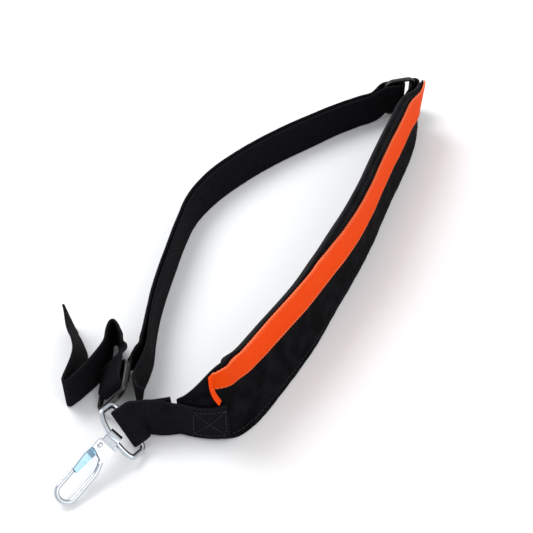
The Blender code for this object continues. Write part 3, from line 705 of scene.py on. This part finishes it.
def lift_on(tree, s, v, reach=9.0):
    """How far the pad's real surface stands out of its plain face at (s, v), in mm."""
    plain = PAD.point(s, v, 0.0)
    outward = (PAD.point(s, v, -1.0) - plain).normalized()
    start = (plain + outward * reach - TABLE_CENTRE) * MM
    hit, _, _, distance = tree.ray_cast(start, -outward, 2 * reach * MM)
    return 0.0 if hit is None else reach - distance / MM


def lift_map(tree, s_rows, v_of):
    """Smoothed stand-off for a grid of (s, v), never under the surface."""
    rows = [[lift_on(tree, s, v) for v in v_of(s)] for s in s_rows]
    for _ in range(2):
        last = len(rows) - 1
        rows = [[max(rows[i][k], (rows[max(i - 1, 0)][k] + 2 * rows[i][k]
                                  + rows[min(i + 1, last)][k]) / 4)
                 for k in range(len(rows[i]))] for i in range(len(rows))]
    return rows


def make_stripe(tree):
    """The accent webbing: laid on the pad, serrated selvages, near end turned under."""
    begin, end = STRIPE_START, PAD.length - STRIPE_STOP
    count = round((end - begin) / STRIPE_STEP)
    s_rows = [begin + (end - begin) * i / count for i in range(count + 1)]
    coarse = s_rows[::SURFACE_STEPS] + [s_rows[-1]]
    inset = [0.0, 0.06, 0.2, 0.35, 0.5, 0.65, 0.8, 0.94, 1.0]

    def v_of(s):
        low = PAD.stripe_foot(s)
        return [low + STRIPE_WIDTH * k for k in inset]
    lifts = lift_map(tree, coarse, v_of)

    def lift_at(i, k):
        a = min(i // SURFACE_STEPS, len(lifts) - 2)
        inside = (a + 1) * SURFACE_STEPS <= count
        t = (i - a * SURFACE_STEPS) / SURFACE_STEPS if inside else 1.0
        return lifts[a][k] + (lifts[a + 1][k] - lifts[a][k]) * min(t, 1.0)
    rings, lays = [], []
    for i, s in enumerate(s_rows):
        low = PAD.stripe_foot(s)
        turn = smooth((s - end + 62.0) / 60.0)
        slide_down = smooth((s - end + 9.0) / 10.0)
        round_off = math.sqrt(max(0.0, 1.0 - max(0.0, (begin + 6.0 - s) / 6.0) ** 2))
        saw = SAW_DEPTH * math.sin(2 * math.pi * s / SAW_PITCH)
        outer, inner = [], []
        for k, share in enumerate(inset):
            width = STRIPE_WIDTH * (0.6 + 0.4 * round_off)
            middle = low + STRIPE_WIDTH / 2
            v = middle + (share - 0.5) * width
            v += saw * (1 if k == len(inset) - 1 else -1 if k == 0 else 0)
            v += turn * 13.5 * (1.0 - share) ** 1.2 - slide_down * 2.5 * share
            v += 4.5 * smooth((22.0 - s) / 22.0) * share
            stand = lift_at(i, k) + STRIPE_STAND
            curl = turn * 3.4 * (1.0 - share) ** 1.5 + 0.5 * turn
            rim = 0.25 if k in (0, len(inset) - 1) else 0.0
            top = stand + curl + STRIPE_THICK
            outer.append(PAD.point(s, v, -(top - rim)))
            inner.append(PAD.point(s, v, -(stand + curl + rim)))
            lays.append((s * MM, (share - 0.5) * STRIPE_WIDTH * MM, 0.0))
        for k in reversed(range(len(inset))):
            lays.append((s * MM, (inset[k] - 0.5) * STRIPE_WIDTH * MM, 0.0))
        rings.append(outer + list(reversed(inner)))
    stripe = piece("stripe", *loft(rings), ORANGE, lays=lays, smooth_angle=WEBBING_CREASE)
    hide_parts("accent_stripe")

    # The turned-under end, seen as a thin roll standing on the pad
    roll, ups = [], []
    for k in range(25):
        t = k / 24
        v = PAD.stripe_foot(end) + STRIPE_WIDTH - 2.6 - (STRIPE_WIDTH - 2.0) * t
        s = end + 0.4 + 1.2 * math.sin(math.pi * t) - 5.0 * t
        roll.append(PAD.point(s, v, -(1.7 + 2.4 * math.sin(math.pi * (0.25 + 0.6 * t)))))
        _, run = PAD.at(s)
        ups.append((run * 0.35 - Vector((run.y, -run.x, 0.0)) * 0.94).normalized())
    end_roll = ribbon("stripe_end_turn", roll, ups, ORANGE, width=3.6, thick=STRIPE_THICK)

    for name, share in (("stripe_seam_lower", 0.075), ("stripe_seam_upper", 0.925)):
        k = 1 if share < 0.5 else 7
        path, outs = [], []
        for i in range(10, count - (80 if share < 0.5 else 16), 3):
            s = s_rows[i]
            v = PAD.stripe_foot(s) + STRIPE_WIDTH * share
            stand = lift_at(i, k) + STRIPE_STAND + STRIPE_THICK
            path.append(PAD.point(s, v, -(stand + 0.05)))
            outs.append((PAD.point(s, v, -2.0) - PAD.point(s, v, 0.0)).normalized())
        seam = stitch_mesh(row_of_stitches(path, outs), name + "_stitches", ORANGE_THREAD)
        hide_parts(name)


def make_pad_edges(tree):
    """Topstitching along the pad's upper and lower edges."""
    for name, is_upper in (("pad_welt_upper", True), ("pad_welt_lower", False)):
        path, outs = [], []
        s = PAD_START + 4.0
        while s < PAD.length - SEWN_END:
            v = PAD.top(s) - 3.4 if is_upper else 3.0
            path.append(PAD.point(s, v, -(lift_on(tree, s, v) + 0.02)))
            outs.append((PAD.point(s, v, -2.0) - PAD.point(s, v, 0.0)).normalized())
            s += 2.5
        seam = stitch_mesh(row_of_stitches(path, outs, 3.4, 2.5), name + "_stitches",
                           BLACK_THREAD)


# ---------------------------------------------------------------- webbing pieces
def make_ring_tab():
    """Webbing sewn over the pad's near end, folded round the ring's straight bar."""
    away = Vector((0.81, 0.50, 0.31))
    away = (away - BAR_DIR * away.dot(BAR_DIR)).normalized()
    front = -away.cross(BAR_DIR).normalized()
    if front.y > 0:
        front = -front
    fold = RING_WIRE / 2 + 2 * SLACK + WEBBING_THICK / 2
    ring_up = -BAR_DIR
    half = WEBBING_WIDTH / 2
    offset = 2.5 * GAP + WEBBING_THICK / 2
    rows = []
    for back_from_end in (35.0, 29.0, 23.0, 17.0, 11.0, 5.0):
        s = PAD.length - back_from_end
        low = PAD.point(s, 1.0, -offset)
        high = PAD.point(s, 1.0 + WEBBING_WIDTH, -offset)
        up = (high - low).normalized()
        rows.append((*(low + up * half), *up))
    rows.append((-61.5, -140.2, 13.6, -0.08, 0.26, 0.96))
    rows.append((*(RING_BAR + front * fold + away * 12.0 - UP * 1.1), -0.28, 0.0, 0.96))
    rows.append((*(RING_BAR + front * fold + away * 4.0), *ring_up))
    path, ups = strip_route(rows, 1.2)
    turn = arc(RING_BAR, front, -away, fold, 0.0, 180.0, 16)
    back_rows = [(*(RING_BAR - front * fold + away * 4.0), *ring_up),
                 (*(RING_BAR - front * fold + away * 12.0 - UP * 1.1), -0.28, 0.0, 0.96),
                 (-66.5, -137.8, 13.2, -0.08, 0.18, 0.98),
                 (-55.0, -136.2, 14.2, -0.06, 0.16, 0.98)]
    more, more_ups = strip_route(back_rows, 1.2)
    path = path[:-1] + turn + more[1:]
    ups = ups[:-1] + [ring_up] * len(turn) + more_ups[1:]
    tab = ribbon("ring_loop_webbing", path, ups, BLACK,
                 seed=3)
    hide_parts("ring_tab")

    surface = -offset - WEBBING_THICK / 2 - 0.05
    s0, s1 = PAD.length - 33.0, PAD.length - 14.0
    v0, v1 = 4.5, 22.5
    corners = [(s0, v0), (s1, v0), (s1, v1), (s0, v1)]
    lines = list(zip(corners, corners[1:] + corners[:1]))
    lines += [(corners[0], corners[2]), (corners[1], corners[3])]
    runs = []
    for a, b in lines:
        spots = [Vector(a).lerp(Vector(b), k / 12) for k in range(13)]
        points = [PAD.point(x, y, surface) for x, y in spots]
        outs = [(PAD.point(x, y, surface - 1.0) - p).normalized()
                for (x, y), p in zip(spots, points)]
        runs += row_of_stitches(points, outs, 2.7, 2.1)
    box = stitch_mesh(runs, "tab_box_stitches", BLACK_THREAD, 0.34)
    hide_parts("tab_box_stitch")


def strap_lean(p):
    return 0.06 + 0.14 * smooth((p.y - 20.0) / 60.0) * (1.0 - smooth((p.y - 120.0) / 45.0))


def strap_rows(offset, lift):
    """The strap's standing runs, `offset` mm to the outside of the foot line."""
    foot = spline([(x, y, 0.0) for x, y in STRAP_FOOT], 9.0)
    rows = []
    for p, t in zip(foot, tangents(foot)):
        outside = Vector((t.y, -t.x, 0.0))
        up = (UP + outside * strap_lean(p)).normalized()
        rows.append((*(p + outside * offset + up * (WEBBING_WIDTH / 2 + lift)), *up))
    return rows


def make_strap():
    """Inner run, fold round the upper slide, outer run, fold round the lower, and tail."""
    out = UP.cross(UPPER_ALONG)
    start = [(*(UPPER_SLIDE - out * FOLD_RADIUS - UPPER_ALONG * 1.4), 0, 0, 1),
             (*(UPPER_SLIDE - out * FOLD_RADIUS - UPPER_ALONG * 13.0), 0, 0, 1)]
    end = [(-77.4, -124.5, 13.0, -0.10, 0.30, 0.95), (-74.6, -128.2, 12.8, -0.20, 0.42, 0.88)]
    inner = [r for r in strap_rows(0.0, 0.3) if (Vector(r[:3]) - UPPER_SLIDE).xy.length > SLIDE_CLEAR]
    path, ups = strip_route(start + inner + end, 1.5)
    tack = tack_stitches("strap_end_bar_tack", path, ups, 8)
    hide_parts("strap_end_tack")
    run = ribbon("strap_inner_webbing", path, ups, BLACK, seed=5)
    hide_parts("strap_inner_run")

    outer = strap_rows(WEBBING_THICK + 0.7, 1.6)
    outer = [r for r in outer if (Vector(r[:3]) - UPPER_SLIDE).xy.length > SLIDE_CLEAR
             and r[1] > -70.0]
    turn = arc(UPPER_SLIDE, -out, UPPER_ALONG, FOLD_RADIUS, 8.0, 180.0, 14)
    rows = [(*(UPPER_SLIDE + out * FOLD_RADIUS - UPPER_ALONG * 2.0), 0, 0, 1),
            (*(UPPER_SLIDE + out * FOLD_RADIUS - UPPER_ALONG * 13.0), 0, 0, 1)] + outer
    side = LOWER_UP.cross(LOWER_ALONG)
    if side.x < 0:
        side = -side
    half_way = LOWER_SLIDE - LOWER_ALONG * 12.0
    rows += [(-77.3, -84.0, 13.6, 0, 0, 1), (-80.0, -92.0, 13.4, 0.14, 0, 1.0),
             (*(half_way - LOWER_ALONG * 4.0 + side * (FOLD_RADIUS + 0.8)), *LOWER_UP),
             (*(half_way + side * FOLD_RADIUS), *LOWER_UP),
             (*(LOWER_SLIDE + side * FOLD_RADIUS - LOWER_ALONG * 1.2), *LOWER_UP)]
    more, more_ups = strip_route(rows, 1.5)
    run = ribbon("strap_outer_webbing", turn + more, [UP] * len(turn) + more_ups, BLACK,
                 seed=7)
    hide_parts("strap_outer_run")

    turn = arc(LOWER_SLIDE, side, LOWER_ALONG, FOLD_RADIUS, 10.0, 180.0, 14)
    tail = [(*(LOWER_SLIDE - side * FOLD_RADIUS - LOWER_ALONG * 3.0), *LOWER_UP),
            (*(half_way - side * FOLD_RADIUS), *LOWER_UP),
            (*(half_way - LOWER_ALONG * 4.0 - side * (FOLD_RADIUS + 0.6)), *LOWER_UP),
            (-92.2, -93.0, 13.6, 0.34, 0.0, 0.94), (-91.4, -85.0, 12.9, 0.16, 0, 1.0),
            (-92.6, -78.0, 12.7, 0.05, 0, 1.0), (-94.6, -73.2, 12.8, 0, 0, 1),
            (-96.8, -71.8, 12.8, 0, 0, 1), (-98.6, -74.0, 12.8, 0, 0, 1),
            (-99.0, -80.0, 12.8, -0.05, 0, 1), (-99.6, -89.0, 12.8, -0.05, 0, 1),
            (-105.0, -101.8, 12.8, -0.08, 0.03, 1), (-112.3, -112.5, 12.8, -0.05, 0, 1),
            (-117.4, -119.0, 12.8, 0, 0, 1), (-119.9, -121.0, 12.8, 0, 0, 1),
            (-121.6, -119.2, 12.8, 0, 0, 1), (-119.6, -111.0, 12.8, -0.05, 0, 1),
            (-116.9, -98.0, 12.7, -0.12, -0.10, 0.98), (-117.3, -85.0, 12.4, -0.22, -0.29, 0.93),
            (-121.2, -74.4, 12.2, -0.19, -0.37, 0.91), (-127.6, -57.5, 12.5, -0.06, -0.3, 0.95)]
    path, ups = strip_route(tail, 1.0)
    path, ups = turn + path, [LOWER_UP] * len(turn) + ups
    tack = tack_stitches("tail_end_bar_tack", path, ups, 9)
    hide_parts("tail_end_tack")
    run = ribbon("strap_tail_webbing", path, ups, BLACK, seed=9)
    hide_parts("strap_tail")


def tack_stitches(name, path, ups, back):
    """A bar tack across the webbing, `back` points before the end of its path."""
    centre, along = path[-back], tangents(path)[-back]
    across = (ups[-back] - along * ups[-back].dot(along)).normalized()
    out = along.cross(across).normalized()
    if out.y < 0:
        out = -out
    runs = []
    for k in range(TACK_COUNT):
        w = (k / (TACK_COUNT - 1) - 0.5) * (WEBBING_WIDTH - 6.0)
        lean = 0.5 if k % 2 else -0.5
        base = centre + across * w + out * (WEBBING_THICK / 2 + 0.05)
        runs.append((base - along * 1.0 - across * lean, base + along * 1.0 + across * lean,
                     out))
    made = stitch_mesh(runs, name, BLACK_THREAD, 0.3)
    return made


def make_slide_tab():
    """Short webbing loop from the pad's far end round the upper slide's end bar."""
    fold = SLIDE_RIM / 2 + SLACK * 1.5 + WEBBING_THICK / 2
    end_bar = UPPER_SLIDE + UPPER_ALONG * (SLIDE_LENGTH / 2 - SLIDE_RIM / 2)
    away = (Vector((116.0, 146.0, 0.0)) - end_bar).xy.to_3d().normalized()
    side = Vector((-away.y, away.x, 0.0))
    sewn = PAD.point(PAD_START + 13.0, 16.0, 1.2 + 10.6)
    lead = end_bar + away * 7.0 + side * fold * 0.9
    lead.z = 16.4
    path, ups = strip_route([(*sewn, 0, 0, 1), (*(sewn.lerp(lead, 0.5)), 0, 0, 1),
                             (*lead, 0, 0, 1)], 1.0)
    turn = arc(end_bar, side, -away, fold, 0.0, 180.0, 16)
    path += turn
    ups += [UP] * len(turn)
    lead_back = end_bar + away * 7.0 - side * fold * 0.9
    sewn_back = sewn - side * (2 * fold) * 0.6
    more, more_ups = strip_route([(*lead_back, 0, 0, 1),
                                  (*(sewn_back.lerp(lead_back, 0.5)), 0, 0, 1),
                                  (*sewn_back, 0, 0, 1)], 1.0)
    tab = ribbon("slide_loop_webbing", path + more, ups + more_ups, BLACK,
                 seed=11)
    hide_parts("slide_tab")


# ---------------------------------------------------------------- slides
def rounded_outline(half_x, half_y, radius, count):
    out = []
    for k, (sx, sy) in enumerate(((1, 1), (-1, 1), (-1, -1), (1, -1))):
        cx, cy = sx * (half_x - radius), sy * (half_y - radius)
        for j in range(count + 1):
            a = math.pi / 2 * (k + j / count)
            out.append((cx + radius * math.cos(a), cy + radius * math.sin(a)))
    return out


def make_slide(name, node, centre, along, up):
    """Moulded three-bar slide: an oval rim of half-round section and a round middle bar."""
    out = along.cross(up)
    half_x, half_y = SLIDE_LENGTH / 2, SLIDE_HEIGHT / 2
    thick = SLIDE_THICK / 2

    def spot(x, y, z):
        return centre + along * x + up * y + out * z
    outer = rounded_outline(half_x, half_y, 8.0, 9)
    slot_y = WEBBING_WIDTH / 2 + 0.8
    inner = rounded_outline(half_x - SLIDE_RIM, slot_y, 2.2, 9)
    section = [(0.0, 0.35), (0.0, 0.75), (0.12, 0.95), (0.3, 1.08), (0.5, 1.12), (0.7, 1.08),
               (0.88, 0.95), (1.0, 0.75), (1.0, 0.35)]
    section = section + [(t, -z) for t, z in reversed(section)]
    rings = []
    for (x0, y0), (x1, y1) in zip(outer, inner):
        rings.append([spot(x0 + (x1 - x0) * t, y0 + (y1 - y0) * t, z * thick)
                      for t, z in section])
    verts, faces = loft(rings, closed=True)
    bar = [Vector((0.0, -slot_y - 0.8 + (2 * slot_y + 1.6) * k / 12, 0.0)) for k in range(13)]
    bar_rings = []
    for p in bar:
        bar_rings.append([spot(p.x + BAR_HALF * math.cos(a), p.y, BAR_HALF * 0.95 * math.sin(a))
                          for a in (2 * math.pi * k / 16 for k in range(16))])
    more, more_faces = loft(bar_rings)
    base = len(verts)
    verts += more
    faces += [tuple(base + i for i in face) for face in more_faces]
    made = piece(name, verts, faces, PLASTIC, smooth_angle=60.0)
    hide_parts(node)


# ---------------------------------------------------------------- ring and hook
def make_ring():
    normal = BAR_DIR.cross(CROWN_DIR)
    corner = 3.6
    half = RING_HALF_BAR
    shoulder = 8.5
    x_dir, y_dir = Vector((1, 0, 0)), Vector((0, 1, 0))
    path = arc(Vector((half - corner, corner, 0)), x_dir, y_dir, corner, -90, 0, 8)
    for k in range(1, 40):
        a = math.pi * k / 40
        rise = (RING_DEPTH - shoulder) * math.sin(a) ** 0.8
        path.append(Vector((half * math.cos(a), shoulder + rise, 0)))
    path += arc(Vector((-half + corner, corner, 0)), x_dir, y_dir, corner, 180, 270, 8)
    path += [Vector((x, 0, 0)) for x in (-9.0, -6.0, -3.0, -0.4)]
    path += [Vector((x, 0, 0)) for x in (0.4, 3.0, 6.0, 9.0)]
    world = [RING_BAR + BAR_DIR * p.x + CROWN_DIR * p.y + normal * p.z for p in path]
    rings = wire_rings(world, RING_WIRE / 2, 20, True)
    butt = len(path) - 5
    for i in (butt, butt + 1):
        middle = world[i]
        rings[i] = [middle + (p - middle) * 0.86 for p in rings[i]]
    ring = piece("ring_wire", *loft(rings, True), STEEL, body="ring")
    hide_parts("d_ring")


def hook_spot(x, y, z):
    return HOOK_EYE + HOOK_X * x + HOOK_Y * y + HOOK_Z * z


def make_hook():
    leg, rod = HOOK_HALF_WIDTH, HOOK_ROD / 2
    x_dir, y_dir = Vector((1, 0, 0)), Vector((0, 1, 0))
    path = spline([Vector(p) for p in ((1.2, 7.0, 0), (1.8, 11.0, 0), (4.4, 17.0, 0),
                                       (leg, 22.0, 0))], 1.2)
    path += [Vector((leg, y, 0)) for y in (25.0, 28.0, 31.0, 34.0, 37.0)]
    path += arc(Vector((0, HOOK_BEND_Y, 0)), x_dir, y_dir, leg, 0, 180, 28)
    path += [Vector((-leg, y, 0)) for y in (37.0, 34.0, 31.0, NOSE_Y + 1.0, NOSE_Y + 0.3, NOSE_Y)]
    world = [hook_spot(*p) for p in path]
    rings = wire_rings(world, rod, 20)
    for i, share in ((0, 0.8), (-1, 0.72), (-2, 0.92)):
        middle = world[i]
        rings[i] = [middle + (p - middle) * share for p in rings[i]]
    made = piece("hook_wire", *loft(rings), STEEL, body="hook", smooth_angle=50.0)
    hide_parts("hook_rod")

    sides = 20
    head = RIVET_RADIUS * 1.75
    grip = HOOK_ROD / 2 + GAP + HEAD_SHEET + GAP
    profile = [(head * 0.3, -grip - 0.7), (head * 0.75, -grip - 0.5), (head, -grip - 0.1),
               (head, -grip), (RIVET_RADIUS, -grip), (RIVET_RADIUS, grip), (head, grip),
               (head, grip + 0.1), (head * 0.75, grip + 0.5), (head * 0.3, grip + 0.7)]
    rings = [[GATE_PIN + HOOK_X * r * math.cos(a) + HOOK_Y * r * math.sin(a) + HOOK_Z * z
              for a in (2 * math.pi * k / sides for k in range(sides))] for r, z in profile]
    made = piece("gate_rivet_domed", *loft(rings), STEEL, body="hook", smooth_angle=40.0)
    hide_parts("gate_rivet")


def soften_pressed_parts():
    """The pressed head and gate keep their CAD shape, with their sheared edges eased."""
    for node, width, finish in (("hook_head", 0.22, STEEL), ("hook_gate", 0.16, BLUE_ZINC),
                                ("gate_spring", 0.0, SPRING)):
        item = frame["nodes"][node]
        item.data.materials.clear()
        item.data.materials.append(finish)
        if width:
            weld = item.modifiers.new("weld", "WELD")
            weld.merge_threshold = 0.00001
            ease = item.modifiers.new("eased edges", "BEVEL")
            ease.width = width * MM
            ease.segments = 2
            ease.limit_method = "ANGLE"
            ease.angle_limit = math.radians(40.0)
            ease.harden_normals = False


# ---------------------------------------------------------------- studio
def make_studio():
    lo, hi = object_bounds()
    middle = (lo + hi) / 2
    reach = 2.6
    mesh = bpy.data.meshes.new("table_top")
    level = -0.00012
    mesh.from_pydata([(middle.x + x * reach, middle.y + y * reach, level)
                      for x, y in ((-1, -1), (1, -1), (1, 1), (-1, 1))], [], [(0, 1, 2, 3)])
    mesh.materials.append(floor_finish())
    floor = bpy.data.objects.new("table_top", mesh)
    bpy.context.scene.collection.objects.link(floor)

    world = bpy.data.worlds.new("studio")
    world.use_nodes = True
    world.node_tree.nodes["Background"].inputs[0].default_value = (0.97, 0.985, 1.0, 1.0)
    world.node_tree.nodes["Background"].inputs[1].default_value = 0.80
    bpy.context.scene.world = world
    for name, place, size, power in (("window", (-0.75, 0.55, 1.15), 0.9, 13.0),
                                     ("fill", (0.9, -0.9, 0.9), 1.2, 5.0)):
        lamp = bpy.data.lights.new(name, "AREA")
        lamp.shape = "DISK"
        lamp.size = size
        lamp.energy = power
        item = bpy.data.objects.new(name, lamp)
        item.location = middle + Vector(place)
        item.rotation_euler = (-Vector(place)).to_track_quat("-Z", "Y").to_euler()
        bpy.context.scene.collection.objects.link(item)
    bpy.context.scene.view_settings.view_transform = "Standard"


def make_camera():
    distance, tilt = 0.741, math.radians(45.0)
    camera = bpy.data.cameras.new("camera")
    camera.sensor_width = 36.0
    camera.lens = 72.47
    item = bpy.data.objects.new("camera", camera)
    item.location = Vector((0.0, -distance * math.cos(tilt), distance * math.sin(tilt))) \
        - TABLE_CENTRE * MM
    item.rotation_euler = (tilt, 0.0, 0.0)
    bpy.context.scene.collection.objects.link(item)
    bpy.context.scene.camera = item


make_camera()
pad = make_pad()
pad_surface = surface_tree(pad)
make_stripe(pad_surface)
make_pad_edges(pad_surface)
make_ring_tab()
make_strap()
make_slide_tab()
make_slide("upper_slide_frame", "upper_slide", UPPER_SLIDE, UPPER_ALONG, UP)
make_slide("lower_slide_frame", "lower_slide", LOWER_SLIDE, LOWER_ALONG, LOWER_UP)
make_ring()
make_hook()
soften_pressed_parts()
make_studio()
